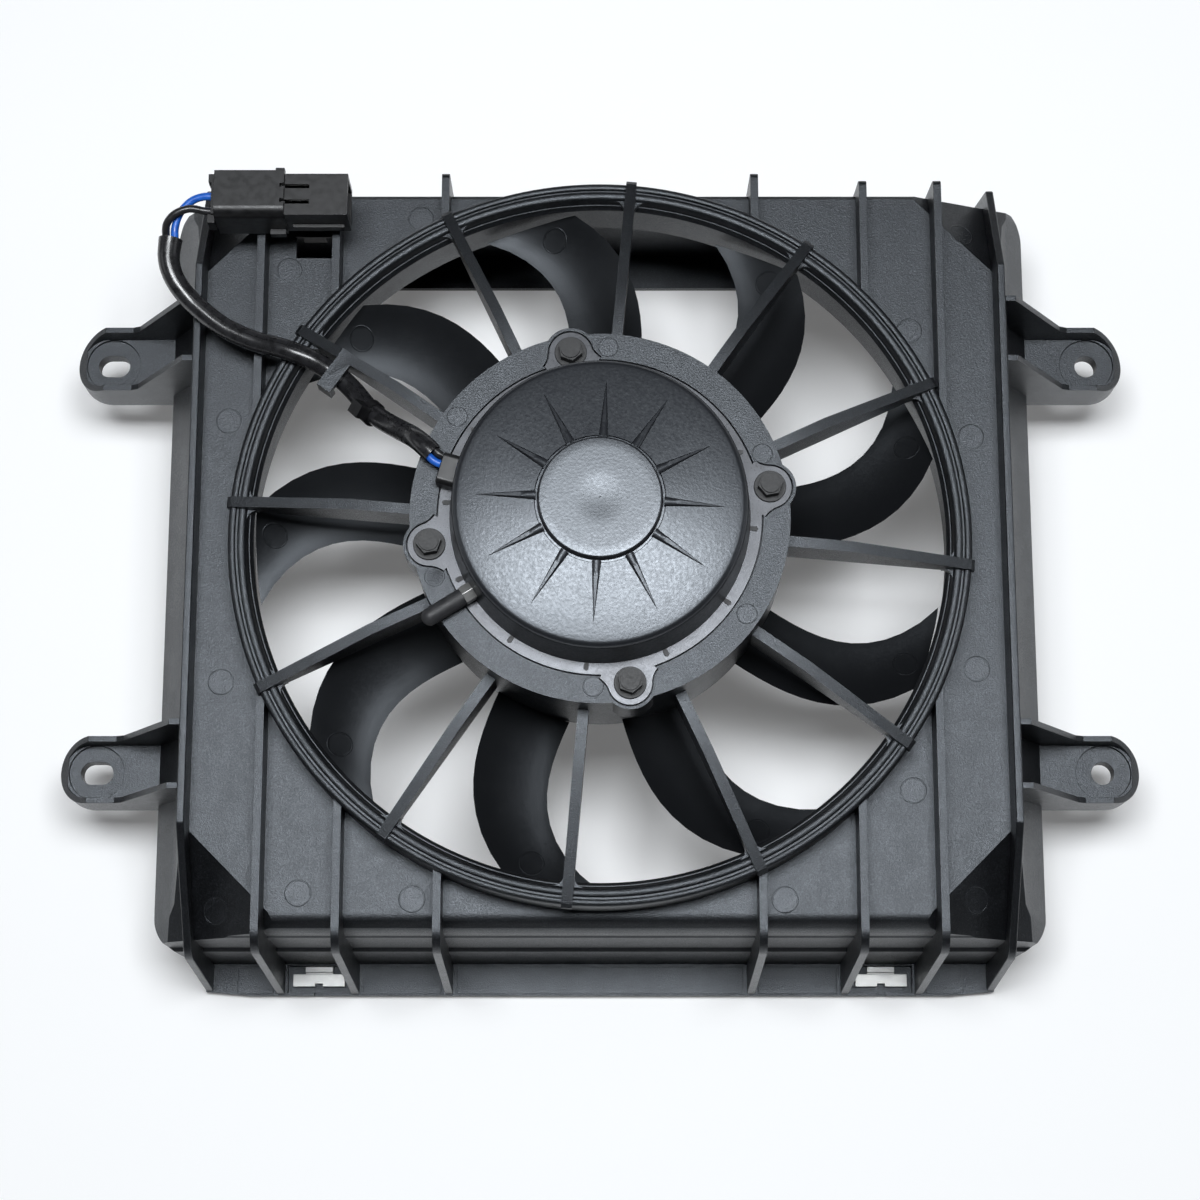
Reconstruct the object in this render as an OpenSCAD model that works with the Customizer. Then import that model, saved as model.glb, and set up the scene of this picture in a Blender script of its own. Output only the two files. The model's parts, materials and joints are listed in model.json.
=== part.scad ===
// Intercooler fan: a moulded shroud, a spoked motor carrier, a sealed pancake motor and a nine-blade fan.
// Frame: Z is the fan axis and z = 0 is the rim of the air mouth, with the motor on top.

/* [Fan] */
// Radius over the blade tips
fan_r = 130.8; // [115:0.2:145]
// Number of blades
blade_count = 9; // [5:1:11]
// Gap between the radius of the carrier and that of the fan hub below it
hub_inset = 1.4; // [1:0.1:4]
// Height of the fan hub
hub_h = 17; // [14:0.5:22]
// Wall of the fan hub
hub_wall = 2.8; // [2:0.1:4]
// Greatest thickness of a blade
blade_t = 2.6; // [1.8:0.1:3.6]
// Rise of a blade from its leading to its trailing edge
blade_rise = 14; // [8:0.5:15]
// Hollow of a blade below a straight line across it
blade_camber = 2.4; // [0:0.2:4]

/* [Duct ring] */
// Gap between blade tip and duct
tip_gap = 1.7; // [1:0.1:4]
// Wall of the duct below the panel
duct_wall = 2.8; // [2:0.1:4]
// Radial width of the ring above the panel
ring_w = 6.8; // [5.5:0.1:9]
// Height of the ring above the panel
ring_h = 17; // [12:0.5:20]
// Depth of the duct below the top of the panel
duct_depth = 13; // [8:0.5:14]
// Inward reach of the lip under the top of the ring
lip_w = 3.6; // [2:0.1:5]

/* [Shroud] */
// Height of the panel above the mouth rim
panel_z = 79; // [70:0.5:85]
// Wall of the shroud
wall = 2.8; // [2:0.1:3.6]
// Land between the ring and the outer face of the side ribs
side_land = 16.2; // [12:0.2:40]
// Land between the ring and the end edges of the panel
end_land = 1.2; // [1:0.1:20]
// Spread of each side wall from the panel down to the rim
side_spread = 14.5; // [8:0.5:20]
// Spread of the front wall from the panel down to the rim
front_spread = 11.8; // [10:0.1:18]
// Spread of the back wall from the panel down to the rim
back_spread = 6.3; // [5:0.1:18]
// Width of the flange along the front
front_flange_w = 12.5; // [12:0.1:18]
// Width of the flange along the back
back_flange_w = 12; // [5:0.5:16]
// Thickness of the flanges
flange_t = 4; // [3:0.5:6]
// Inward reach of the seal lip at each end of the mouth
mouth_lip = 14.6; // [10:0.1:32]
// Thickness of the seal lip
mouth_lip_t = 3; // [2:0.5:4]
// Radius of the upright corners
corner_r = 14; // [8:0.5:20]

/* [Ribs] */
// Height of the ribs above the panel
rib_h = 13.5; // [8:0.5:14]
// Thickness of a rib
rib_t = 3; // [2:0.1:3.6]
// Spacing inwards from a side rib of the first rib at the back
back_rib_1 = 23.6; // [20:0.1:24]
// Spacing inwards from a side rib of the second rib at the back
back_rib_2 = 52.4; // [48:0.1:56]
// Spacing inwards from a side rib of the third rib at the back
back_rib_3 = 94.3; // [80:0.1:110]
// Spacing inwards from a side rib of the first rib at the front
front_rib_1 = 28.3; // [24:0.1:32]
// Spacing inwards from a side rib of the second rib at the front
front_rib_2 = 57.6; // [57:0.1:62]
// Spacing inwards from a side rib of the third rib at the front
front_rib_3 = 94.5; // [80:0.1:110]

/* [Ears] */
// Distance of an ear's hole from the side wall
ear_reach = 24.5; // [20:0.1:40]
// Distance of an ear's hole from the middle of the side
ear_y = 82.3; // [60:0.1:95]
// Outer radius of an ear's round end
ear_r = 13; // [12:0.1:16]
// Wall round an ear
ear_wall = 2.2; // [1.5:0.1:3]
// Underside of the ears above the mouth rim
ear_z = 32.5; // [26:0.5:38]
// Depth of the hollow under an ear's floor
ear_skirt = 3; // [1:0.5:4]
// Thickness of an ear's floor
ear_floor = 8.7; // [5:0.1:10]
// Height of the wall round an ear's end
ear_h = 20.5; // [18:0.5:24]
// Diameter of the holes
ear_hole_d = 8.8; // [5:0.1:9.5]
// End-to-end length of the two slots
ear_slot_l = 12.5; // [11:0.1:14]

/* [Motor carrier] */
// Width of the carrier's edge outside the bolt circle
carrier_edge = 6.5; // [6:0.1:8]
// Height of the carrier face above the top of the ring
carrier_rise = 27; // [24:0.5:32]
// Height of the carrier cup
carrier_h = 35.5; // [30:0.5:38]
// Number of spokes
spoke_count = 12; // [6:1:16]
// Thickness of a spoke
spoke_t = 4; // [3:0.1:5]
// Rise of a spoke's top over the ring, at the carrier
spoke_rise = 13; // [8:0.5:16]
// Depth of a spoke below the top of the ring
spoke_depth = 3.3; // [3:0.1:8]

/* [Motor] */
// Width of the motor flange round the cover
flange_land = 4.2; // [3.4:0.1:6]
// Distance of the bolts outside the edge of the motor flange
bolt_out = 3.9; // [3:0.1:5]
// Radius of the round end of a lug
lug_r = 8; // [7:0.1:8.4]
// Thickness of the motor flange
motor_flange_t = 3; // [2:0.1:4]
// Outer radius of the motor cover at its foot
cover_r = 54.8; // [53:0.1:55]
// Height of the motor cover
cover_h = 27; // [24:0.5:34]
// Radius of the raised disc on the cover
disc_r = 22; // [18:0.5:26]
// Sheet thickness of cover and base
can_t = 2; // [1.2:0.1:2.4]
// Step inwards from the cover to the motor base below the flange
base_inset = 2.3; // [2:0.1:5]
// Radius of the motor shaft
shaft_r = 4; // [3:0.1:5]
// Radial air gap between armature and magnets
air_gap = 0.8; // [0.5:0.1:1.5]
// Radial running clearance on the shaft
running_gap = 0.05; // [0.02:0.01:0.1]
// Across flats of the bolt heads
bolt_af = 8; // [7:0.5:10]

/* [Connector] */
// Length of the connector
conn_l = 50.5; // [44:0.5:56]
// Width of the connector
conn_w = 18; // [16:0.5:22]
// Height of the connector
conn_h = 20; // [18:0.5:24]
// Wall of the connector's socket
conn_wall = 1.8; // [1.2:0.1:2.4]
// Depth of the socket
socket_depth = 24; // [18:0.5:26]
// Diameter of a wire over its insulation
wire_d = 3; // [2:0.1:3.2]
// Diameter of the sleeve round the two wires
sleeve_d = 6.8; // [6:0.1:7.4]

/* [Hidden] */
$fn = 48;

// Colours as the photograph shows them
plastic = [0.16, 0.165, 0.175];
plastic_dark = [0.10, 0.105, 0.115];
satin_steel = [0.30, 0.31, 0.33];
bright_steel = [0.72, 0.73, 0.74];
rubber = [0.09, 0.10, 0.11];

// Radii of the motor, from the base outwards, and of the fan hub
base_r = cover_r - base_inset;
flange_r = cover_r + flange_land;
bolt_circle_r = flange_r + bolt_out;
carrier_r = bolt_circle_r + carrier_edge;
hub_r = carrier_r - hub_inset;

// Radii of the duct, from the fan outwards
duct_in = fan_r + tip_gap;
duct_out = duct_in + duct_wall;
ring_out = duct_in + ring_w;
lip_in = duct_in - lip_w;
ring_top = panel_z + ring_h;
land_drop = 0.8;
lip_drop = 4;
lip_t = 1.8;

// Half sizes of the shroud
panel_x = ring_out + side_land;
panel_y = ring_out + end_land;
side_x = panel_x + side_spread;
front_y = panel_y + front_spread;
back_y = panel_y + back_spread;
flange_y = front_y + front_flange_w;
rib_x = panel_x - rib_t / 2;
rib_top = panel_z + rib_h;
back_ribs = [back_rib_1, back_rib_2, back_rib_3];
front_ribs = [front_rib_1, front_rib_2, front_rib_3];
crease = panel_x + panel_y - 34;
corner_fall = 0.55;

// Levels of the carrier and the motor
carrier_top = ring_top + carrier_rise;
carrier_low = carrier_top - carrier_h;
carrier_face_t = 3.5;
pocket_gap = 0.5;
flange_low = carrier_top - motor_flange_t;
spoke_low = ring_top - spoke_depth;
spoke_flat_r = carrier_r + 23.6;
spoke_turn = 25;
bolt_turn = 9.9;
bolt_r = 2.5;
washer_t = 1;
washer_r = 5.9;
head_h = 5;

// Levels of the fan
fan_gap = 2.5;
hub_top = carrier_low - fan_gap;
hub_low = hub_top - hub_h;
hub_face_t = 3;
hub_boss_r = 11;
blade_turn = 170;
blade_low = hub_low + 0.6;

// Levels of the motor's inside
base_low = hub_low + hub_face_t + 4;
boss_drop = 2.5;
bearing_r = 11;
bearing_h = 7;
race_t = 2.4;
seat_t = 2;
lower_bearing_z = base_low - boss_drop + seat_t;
upper_bearing_z = carrier_top + cover_h - can_t - 2.5 - bearing_h;
magnet_t = 5.5;
magnet_in = base_r - can_t - magnet_t;
core_r = magnet_in - air_gap;
core_low = base_low + 13;
core_high = flange_low - 6;
comm_r = 12;
comm_low = core_high + 5;
comm_high = comm_low + 12;
card_z = comm_low + 1;

// Places of the connector, on the rib tops at the back left corner
conn_x0 = -(rib_x - 8);
conn_y0 = panel_y - 21.3;
conn_z0 = rib_top + 2;
wire_y = conn_w / 2 - 1.4;
wire_pitch = 6;
wire_up = 11.5;

// Direction of the vent and of the gland round the motor
vent_turn = 212.3;
gland_turn = 164;
vent_z = carrier_top + 4.5;

// Route of the lead: connector, side rib, ring, clip, tie and motor
blue_front = [[conn_x0 + 5, conn_y0 + wire_y + 3, 106], [-147.8, conn_y0 + wire_y + 3, 106],
              [-151.4, 129.8, 105.8], [-156, 128.2, 105], [-160.3, 123.8, 103.8],
              [-162, 119, 102.6], [-162.2, 116.4, 102.15], [-162.2, 114.7, 102.05]];
black_front = [[conn_x0 + 5, conn_y0 + wire_y - 3, 106], [-147.8, conn_y0 + wire_y - 3, 106],
               [-151.4, 124, 106.4], [-156, 124.4, 107.4], [-161.4, 122.6, 107],
               [-164.8, 119.4, 105], [-165.5, 116.5, 102.4], [-165.5, 114.7, 102.05]];
sleeve_route = [[-163.8, 114.2, 102], [-164.4, 108, 101.6], [-163.4, 102, 101], [-160.4, 96, 99.8],
                [-156, 91, 98.2], [-150.5, 86, 97.6], [-144, 81, 97.2], [-136.5, 77, 97.2],
                [-128.5, 73.8, 97.8], [-121, 71.4, 99.6], [-115, 69.2, 100.1], [-109, 66.8, 99.2],
                [-103.5, 64, 97], [-98.5, 60.6, 96.4], [-93.6, 55.6, 97.6], [-89.4, 50, 100.4],
                [-85.4, 44.6, 104], [-80.4, 40, 108.2], [-75.6, 36, 113], [-72, 32.8, 118],
                [-69, 30, 122.8], [-66.2, 27.2, 126.2], [-63.4, 24.4, 127.6], [-61, 22, 127.8]];
blue_rear = [[-61.8, 20.6, 127.8], [-60.5, 19.35, 127.8], [-59.1, 18.55, 127.6], [-58, 18.2, 127.4]];
black_rear = [[-59.6, 22.8, 127.8], [-58.8, 22.05, 127.8], [-58.1, 21.6, 127.6], [-57.35, 21.4, 127.4]];
tie_at = 16;

// Cutting and joining helpers

// A large block that removes everything beyond a plane through p with outward normal n
module beyond(p, n, s = 220) {
  translate(p)
    rotate([0, acos(n[2] / norm(n)), atan2(n[1], n[0])])
      translate([-s / 2, -s / 2, 0])
        cube(s);
}

// Children copied into the four corners by mirroring
module four_corners() {
  for (mx = [0, 1], my = [0, 1])
    mirror([mx, 0, 0])
      mirror([0, my, 0])
        children();
}

// Children copied round the axis
module around(count, turn = 0) {
  for (i = [0 : count - 1])
    rotate(turn + i * 360 / count)
      children();
}

// Upright rectangle with true round corners
module round_rect(hx, hy, r) {
  square([2 * hx, 2 * (hy - r)], center = true);
  square([2 * (hx - r), 2 * hy], center = true);
  for (sx = [-1, 1], sy = [-1, 1])
    translate([sx * (hx - r), sy * (hy - r)])
      circle(r);
}

// Profiles of the shroud, each moved inwards by w: the outer form ends at the rim, the inner one below it
function low_end(w) = w > 0 ? -1 : 0;

// Half outline across the side walls: x, z
function side_outline(w) = [
  [0, low_end(w)], [side_x - w, low_end(w)], [side_x - w, panel_z - 34 - w],
  [panel_x + 0.31 * side_spread - w, panel_z - 18 - w], [panel_x - w, panel_z - w], [0, panel_z - w]];

// Half outline across the front wall, with its two ledges: distance from the axis, z
function front_outline(w) = [
  [0, low_end(w)], [front_y - w, low_end(w)], [front_y - w, 5 - w], [panel_y + 9.7 - w, panel_z - 44.2 - w],
  [panel_y + 8.2 - w, panel_z - 43 - w], [panel_y + 8 - w, panel_z - 40 - w],
  [panel_y + 7.2 - w, panel_z - 14 - w], [panel_y + 6.5 - w, panel_z - 13 - w],
  [panel_y + 6.2 - w, panel_z - 6.5 - w], [panel_y + 4.6 - w, panel_z - 2.9 - w],
  [panel_y + 2.2 - w, panel_z - 0.9 - w], [panel_y - 1 - w, panel_z - w], [0, panel_z - w]];

// Half outline across the plain back wall: y, z
function back_outline(w) = [
  [0, low_end(w)], [back_y - w, low_end(w)], [back_y - w, 5 - w], [panel_y + 0.4 - w, panel_z - 1.2 - w],
  [panel_y - 1.2 - w, panel_z - w], [0, panel_z - w]];

// Solid form of the shroud, moved inwards by w
module tray_form(w) {
  difference() {
    intersection() {
      union()
        for (m = [0, 1])
          mirror([m, 0, 0])
            rotate([90, 0, 0])
              translate([0, 0, -2 * front_y])
                linear_extrude(4 * front_y)
                  polygon(side_outline(w));
      union()
        for (m = [0, 1])
          mirror([0, m, 0])
            rotate([90, 0, 90])
              translate([0, 0, -2 * side_x])
                linear_extrude(4 * side_x)
                  polygon(m == 0 ? back_outline(w) : front_outline(w));
      translate([0, (back_y - front_y) / 2, -1])
        linear_extrude(panel_z + 2)
          round_rect(side_x - w, (back_y + front_y) / 2 - w, corner_r - w);
    }
    // Sloping corner of the panel, and the steeper corner of the shoulder outside the side rib
    four_corners() {
      beyond([crease / 2, crease / 2, panel_z - w], [corner_fall, corner_fall, 1]);
      beyond([panel_x - w, panel_y - 29, panel_z - w], [0.9, 0.25, 0.6]);
    }
  }
}

// Outline of one rib seen along X: top with its rounded tip, then the gusset down to the toe on the flange;
// from fall_y on the top of a side rib falls with the corner of the panel
module rib_outline(tip, foot, toe, round, fall_y = 1000) {
  low = panel_z - 24;
  tip_z = rib_top - max(0, tip - fall_y) * corner_fall;
  polygon(concat([[0, low], [0, rib_top], [min(tip - round, fall_y), rib_top]],
                 [for (a = [75 : -15 : 0]) [tip - round + round * cos(a), tip_z - round + round * sin(a)]],
                 [[toe, flange_t], [foot - wall / 2, flange_t], [foot - wall / 2, 6], [panel_y - 8, low]]));
}

// One rib running outwards from the ring, to the back or to the front
module back_rib(x, tip, toe = back_y + 2.5, fall_y = 1000) {
  translate([x - rib_t / 2, 0, 0])
    rotate([90, 0, 90])
      linear_extrude(rib_t)
        rib_outline(tip, back_y, toe, 2.6, fall_y);
}

module front_rib(x, toe = flange_y - 0.6, fall_y = 1000) {
  mirror([0, 1, 0])
    translate([x - rib_t / 2, 0, 0])
      rotate([90, 0, 90])
        linear_extrude(rib_t)
          rib_outline(panel_y + 15, front_y, toe, 9, fall_y);
}

// Flange along one end from the inside of its wall at y0 out to y1, with its clipped corners
module flange_plate(y0, y1, cut, run) {
  linear_extrude(flange_t)
    polygon([[-panel_x, y0], [-panel_x, y1 - cut], [-panel_x + run, y1],
             [panel_x - run, y1], [panel_x, y1 - cut], [panel_x, y0]]);
}

// Low pad on the front flange between two ribs
module flange_pad(x0, x1) {
  margin = rib_t / 2 + 1.6;
  translate([x0 + margin, -flange_y + 0.7, flange_t - 1])
    cube([x1 - x0 - 2 * margin, front_flange_w - 2, 1.4]);
}

// Blind pocket of one spring clip in the front flange, with a notch in the edge
clip_x = rib_x - (front_rib_1 + front_rib_2) / 2;
clip_w = 20.4;
clip_floor = 1.2;
clip_pocket_w = clip_w + 4;
clip_pocket_l = front_flange_w - 2;
clip_pocket_y = front_y + 0.8;

module clip_pockets() {
  for (s = [-1, 1])
    translate([s * clip_x, -clip_pocket_y - clip_pocket_l, clip_floor]) {
      translate([-clip_pocket_w / 2, 0, 0])
        cube([clip_pocket_w, clip_pocket_l, flange_t + 2]);
      translate([-1.7, -3, 0.8])
        cube([3.4, 4, flange_t + 2]);
    }
}

// Outline of one ear, pointing along +X, with its round end at the hole
module ear_outline(r) {
  circle(r);
  translate([-(ear_reach + side_spread) - 4, -r])
    square([ear_reach + side_spread + 4, 2 * r]);
}

ear_x = side_x + ear_reach;
ear_out = 1.5;
pad_r = ear_r - ear_wall - 0.1;
pad_drop = 1.5;

// One ear at the +X +Y corner: floor, round pad and a wall that climbs to the side rib, and falls to the tip
module ear() {
  wall_top = ear_z + ear_h;
  floor_z = ear_z + ear_skirt + ear_floor;
  root = panel_x - ear_x - ear_out;
  translate([ear_x + ear_out, ear_y, 0])
    difference() {
      intersection() {
        translate([0, 0, ear_z])
          linear_extrude(rib_top - ear_z)
            ear_outline(ear_r);
        rotate([90, 0, 0])
          translate([0, 0, -2 * ear_r])
            linear_extrude(4 * ear_r)
              polygon([[ear_r + 1, ear_z - 1], [ear_r + 1, wall_top - ear_r - 0.4], [0.6, wall_top],
                       [-ear_r + 2.6, wall_top], [-ear_r - 0.4, wall_top + 1.6], [root + 4, rib_top - 1],
                       [root, rib_top - 1], [root, ear_z - 1]]);
      }
      translate([0, 0, floor_z])
        linear_extrude(rib_top)
          ear_outline(ear_r - ear_wall);
      translate([0, 0, ear_z - 1])
        linear_extrude(ear_skirt + 1)
          ear_outline(ear_r - ear_wall);
      translate([-ear_out, 0, floor_z - pad_drop])
        cylinder(r = pad_r, h = 2 * pad_drop);
    }
}

// Hole of an ear, long in X on the left side
module ear_hole(slot) {
  d = slot ? (ear_slot_l - ear_hole_d) / 2 : 0;
  for (s = [-1, 1])
    translate([s * d, 0, 0])
      cylinder(d = ear_hole_d, h = panel_z);
  if (slot)
    translate([-d, -ear_hole_d / 2, 0])
      cube([2 * d, ear_hole_d, panel_z]);
}

// Window in the panel for the connector's clip
window_x = -(rib_x - back_rib_1 - 19);
window_y = panel_y - 20;
window_w = 14;
window_l = 11;

module shroud_panel() {
  color(plastic)
    difference() {
      tray_form(0);
      // Inside of the tray, open at the mouth except for the seal lips
      difference() {
        tray_form(wall);
        for (m = [0, 1])
          mirror([0, m, 0])
            translate([-2 * side_x, (m == 0 ? back_y : front_y) - wall - mouth_lip, -2])
              cube([4 * side_x, 2 * mouth_lip, mouth_lip_t + 2]);
      }
      translate([0, 0, mouth_lip_t + 1])
        cylinder(r = duct_out, h = rib_top);
      translate([window_x, window_y, panel_z - wall - 1])
        translate([-window_w / 2, -window_l / 2, 0])
          cube([window_w, window_l, wall + 2]);
    }
}

// Ribs on top of the panel, with gussets that reach down to the flanges
module shroud_ribs() {
  inner_tip = panel_y + 4.8;
  outer_tip = panel_y + 1.9;
  color(plastic)
    difference() {
      for (mx = [0, 1])
        mirror([mx, 0, 0]) {
          for (s = back_ribs)
            back_rib(rib_x - s, s > 80 ? inner_tip : outer_tip);
          for (s = front_ribs)
            front_rib(rib_x - s);
        }
      tray_form(0);
      translate([0, 0, panel_z - 1])
        cylinder(r = ring_out, h = rib_top + 2);
    }
}

// The two long ribs along the sides, each with a gusset at both ends
module side_ribs() {
  color(plastic)
    difference() {
      for (mx = [0, 1])
        mirror([mx, 0, 0]) {
          back_rib(rib_x, panel_y + 6, back_y + back_flange_w - 1.5, crease - rib_x);
          front_rib(rib_x, flange_y - 1.8, crease - rib_x);
        }
      tray_form(0);
    }
}

module mounting_ears() {
  color(plastic)
    difference() {
      four_corners()
        ear();
      tray_form(0);
      for (sx = [-1, 1], sy = [-1, 1])
        translate([sx * ear_x, sy * ear_y, 0])
          ear_hole(slot = sx < 0);
    }
}

module end_flanges() {
  stops = [rib_x - front_rib_1, rib_x - front_rib_2, rib_x - front_rib_3];
  color(plastic)
    difference() {
      union() {
        flange_plate(back_y - wall, back_y + back_flange_w, cut = 1, run = 6);
        mirror([0, 1, 0])
          flange_plate(front_y - wall, flange_y, cut = 1.5, run = 17.5);
        flange_pad(-stops[2], stops[2]);
        for (mx = [0, 1])
          mirror([mx, 0, 0]) {
            flange_pad(stops[0], rib_x - 8);
            flange_pad(stops[2], stops[1]);
          }
      }
      tray_form(0);
      clip_pockets();
    }
}

// Section of the ring and the duct wall: radius, z
module ring_section() {
  bead_w = 3.4;
  bead_in = ring_out - bead_w;
  land_z = ring_top - land_drop;
  lip_z = ring_top - lip_drop;
  polygon([[duct_in, panel_z - duct_depth], [duct_out, panel_z - duct_depth], [duct_out, panel_z],
           [ring_out, panel_z], [ring_out, ring_top - bead_w / 2], [bead_in, ring_top - bead_w / 2],
           [bead_in, land_z], [duct_in, land_z], [duct_in, lip_z], [lip_in, lip_z],
           [lip_in, lip_z - lip_t], [duct_in, lip_z - lip_t]]);
  translate([ring_out - bead_w / 2, ring_top - bead_w / 2])
    circle(bead_w / 2);
}

module duct_ring() {
  color(plastic)
    rotate_extrude($fn = 96)
      ring_section();
}

// One spoke seen from the side, from inside the carrier to just over the ring's bead
module spoke_outline() {
  cap = 1.3;
  polygon([[carrier_r - 6, spoke_low], [duct_in, spoke_low],
           [ring_out + 1, max(ring_top - 5, rib_top + 0.1)], [ring_out + 1, ring_top], [ring_out - 0.4, ring_top + cap],
           [spoke_flat_r, ring_top + spoke_rise], [carrier_r - 6, ring_top + spoke_rise]]);
}

// Fillets between one spoke and the inner edge of the ring
module spoke_fillet() {
  fr = 4;
  bite = 0.04;
  cx = sqrt(pow(duct_in - fr, 2) - pow(spoke_t / 2 + fr, 2));
  translate([0, 0, ring_top - lip_drop - lip_t / 2])
    linear_extrude(lip_drop - land_drop + lip_t / 2 - 0.2)
      difference() {
        translate([cx, -spoke_t / 2 - fr])
          square([duct_in - cx + 1, spoke_t + 2 * fr]);
        for (s = [-1, 1])
          translate([cx, s * (spoke_t / 2 + fr)])
            circle(fr + bite);
      }
}

// Hook on the back left spoke that holds the lead down
hook_r = 116.5;
hook_l = 15;
hook_w = 6;
hook_turn = spoke_turn + 120;
hook_z = ring_top + 4.6;

module lead_hook() {
  rotate(hook_turn) {
    translate([hook_r - hook_w / 2, 0, hook_z])
      cube([hook_w, hook_l, 3]);
    translate([hook_r - hook_w / 2, hook_l - 2.4, hook_z - 5])
      cube([hook_w, 2.4, 8]);
    translate([hook_r - hook_w / 2, -spoke_t / 2, ring_top])
      cube([hook_w, spoke_t, hook_z - ring_top + 3]);
  }
}

module spokes() {
  color(plastic)
    difference() {
      union() {
        around(spoke_count, spoke_turn) {
          rotate([90, 0, 0])
            translate([0, 0, -spoke_t / 2])
              linear_extrude(spoke_t)
                spoke_outline();
          spoke_fillet();
        }
        lead_hook();
      }
      rotate_extrude($fn = 96)
        ring_section();
      cylinder(r = carrier_r, h = 2 * carrier_top);
    }
}

// Outline of the motor flange: a disc with four lugs and true fillets, all moved outwards by g
module flange_outline(g) {
  fillet = 9;
  r0 = flange_r + fillet;
  r1 = lug_r + fillet;
  turn = acos((r0 * r0 + bolt_circle_r * bolt_circle_r - r1 * r1) / (2 * r0 * bolt_circle_r));
  circle(flange_r + g);
  around(4, bolt_turn) {
    translate([bolt_circle_r, 0])
      circle(lug_r + g);
    difference() {
      polygon([[base_r - 5, 0], [r0 * cos(turn), -r0 * sin(turn)], [bolt_circle_r, 0],
               [r0 * cos(turn), r0 * sin(turn)]]);
      for (s = [-1, 1])
        translate([r0 * cos(turn), s * r0 * sin(turn)])
          circle(fillet - g + 0.02);
    }
  }
}

// Cup that carries the motor in the middle of the spokes
module motor_carrier() {
  cup_wall = 2.8;
  collar_r = base_r + 3.5;
  boss_h = motor_flange_t + 14;
  color(plastic)
    difference() {
      union() {
        translate([0, 0, carrier_low])
          cylinder(r = carrier_r, h = carrier_h - boss_h);
        translate([0, 0, carrier_top - boss_h])
          linear_extrude(boss_h) {
            circle(carrier_r);
            around(4, bolt_turn)
              translate([bolt_circle_r, 0])
                circle(lug_r + 1.6);
          }
      }
      // Pocket of the motor flange, and the well of the motor
      translate([0, 0, flange_low])
        linear_extrude(carrier_h)
          flange_outline(pocket_gap);
      translate([0, 0, carrier_low - 1])
        cylinder(r = collar_r - 2, h = carrier_h);
      // Hollow between the wall and the collar, left open from below
      translate([0, 0, carrier_low - 1])
        difference() {
          cylinder(r = carrier_r - cup_wall, h = carrier_h - motor_flange_t - carrier_face_t + 1);
          cylinder(r = collar_r, h = carrier_h);
          around(4, bolt_turn)
            translate([bolt_circle_r, 0, 15])
              cylinder(r = 5.5, h = carrier_h);
        }
      around(4, bolt_turn)
        translate([bolt_circle_r, 0, flange_low - 12])
          cylinder(r = bolt_r + running_gap, h = 13);
    }
}

// Satin plate that the motor hangs from, with a crimp notch at every spoke
module motor_flange() {
  color(satin_steel)
    difference() {
      translate([0, 0, flange_low])
        linear_extrude(motor_flange_t)
          difference() {
            flange_outline(0);
            circle(base_r - can_t);
            around(12, spoke_turn)
              translate([cover_r + 0.6, -0.8])
                square([1.8, 1.6]);
          }
      around(4, bolt_turn)
        translate([bolt_circle_r, 0, flange_low - 1])
          cylinder(r = bolt_r + 0.3, h = motor_flange_t + 2);
    }
}

// Half section of the cover's outside, moved inwards by w: radius, z above the carrier face
cone_r = cover_r - 5;
cone_h = cover_h - 6;
disc_foot_h = cover_h - 2.6;

module cover_section(w) {
  rim = 4;
  polygon([[0, 0], [cover_r - w, 0], [cover_r - 1.8 - w, cone_h - rim], [cone_r - w / 2, cone_h - w],
           [disc_r + 0.8, disc_foot_h - w], [disc_r - w, cover_h - w], [0, cover_h - w]]);
  translate([cover_r - 1.8 - rim, cone_h - rim])
    circle(rim - w);
}

// Twelve tapered ribs that stand a little above the cone of the cover
module cover_ribs() {
  rib_out = 43.5;
  rib_high = 0.9;
  fall = (disc_foot_h - cone_h) / (cone_r - disc_r - 0.8);
  intersection() {
    around(12, -3)
      linear_extrude(cover_h)
        polygon([[disc_r - 1, -1.1], [rib_out, 0], [disc_r - 1, 1.1]]);
    rotate_extrude($fn = 96)
      polygon([[disc_r - 1, cone_h - 1], [disc_r - 1, disc_foot_h + rib_high + fall],
               [rib_out + 1, cone_h + fall * (cone_r - rib_out)], [rib_out + 1, cone_h - 1]]);
  }
}

module motor_cover() {
  dimple_r = 10.7;
  dimple_sink = 1;
  dimple_ball = (dimple_r * dimple_r + dimple_sink * dimple_sink) / (2 * dimple_sink);
  color(plastic_dark)
    translate([0, 0, carrier_top])
      difference() {
        union() {
          rotate_extrude($fn = 96)
            cover_section(0);
          cover_ribs();
        }
        translate([0, 0, cover_h - dimple_sink + dimple_ball])
          sphere(dimple_ball, $fn = 96);
        difference() {
          translate([0, 0, -0.01])
            rotate_extrude($fn = 96)
              cover_section(can_t);
          // Boss that holds the upper bearing
          translate([0, 0, upper_bearing_z - carrier_top])
            difference() {
              cylinder(r = bearing_r + seat_t, h = cover_h);
              translate([0, 0, -1])
                cylinder(r = bearing_r, h = bearing_h + 1);
            }
        }
      }
}

// Drawn steel can under the flange, with the lower bearing in its boss
module motor_base() {
  color(satin_steel)
    rotate_extrude($fn = 96)
      polygon([[base_r, flange_low], [base_r, base_low + 4], [base_r - 4, base_low],
               [bearing_r + seat_t, base_low], [bearing_r + seat_t, base_low - boss_drop],
               [shaft_r + 1, base_low - boss_drop], [shaft_r + 1, lower_bearing_z],
               [bearing_r, lower_bearing_z], [bearing_r, lower_bearing_z + bearing_h],
               [bearing_r + seat_t, lower_bearing_z + bearing_h], [bearing_r + seat_t, base_low + can_t],
               [base_r - 4.8, base_low + can_t], [base_r - can_t, base_low + 4.8],
               [base_r - can_t, flange_low]]);
}

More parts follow.
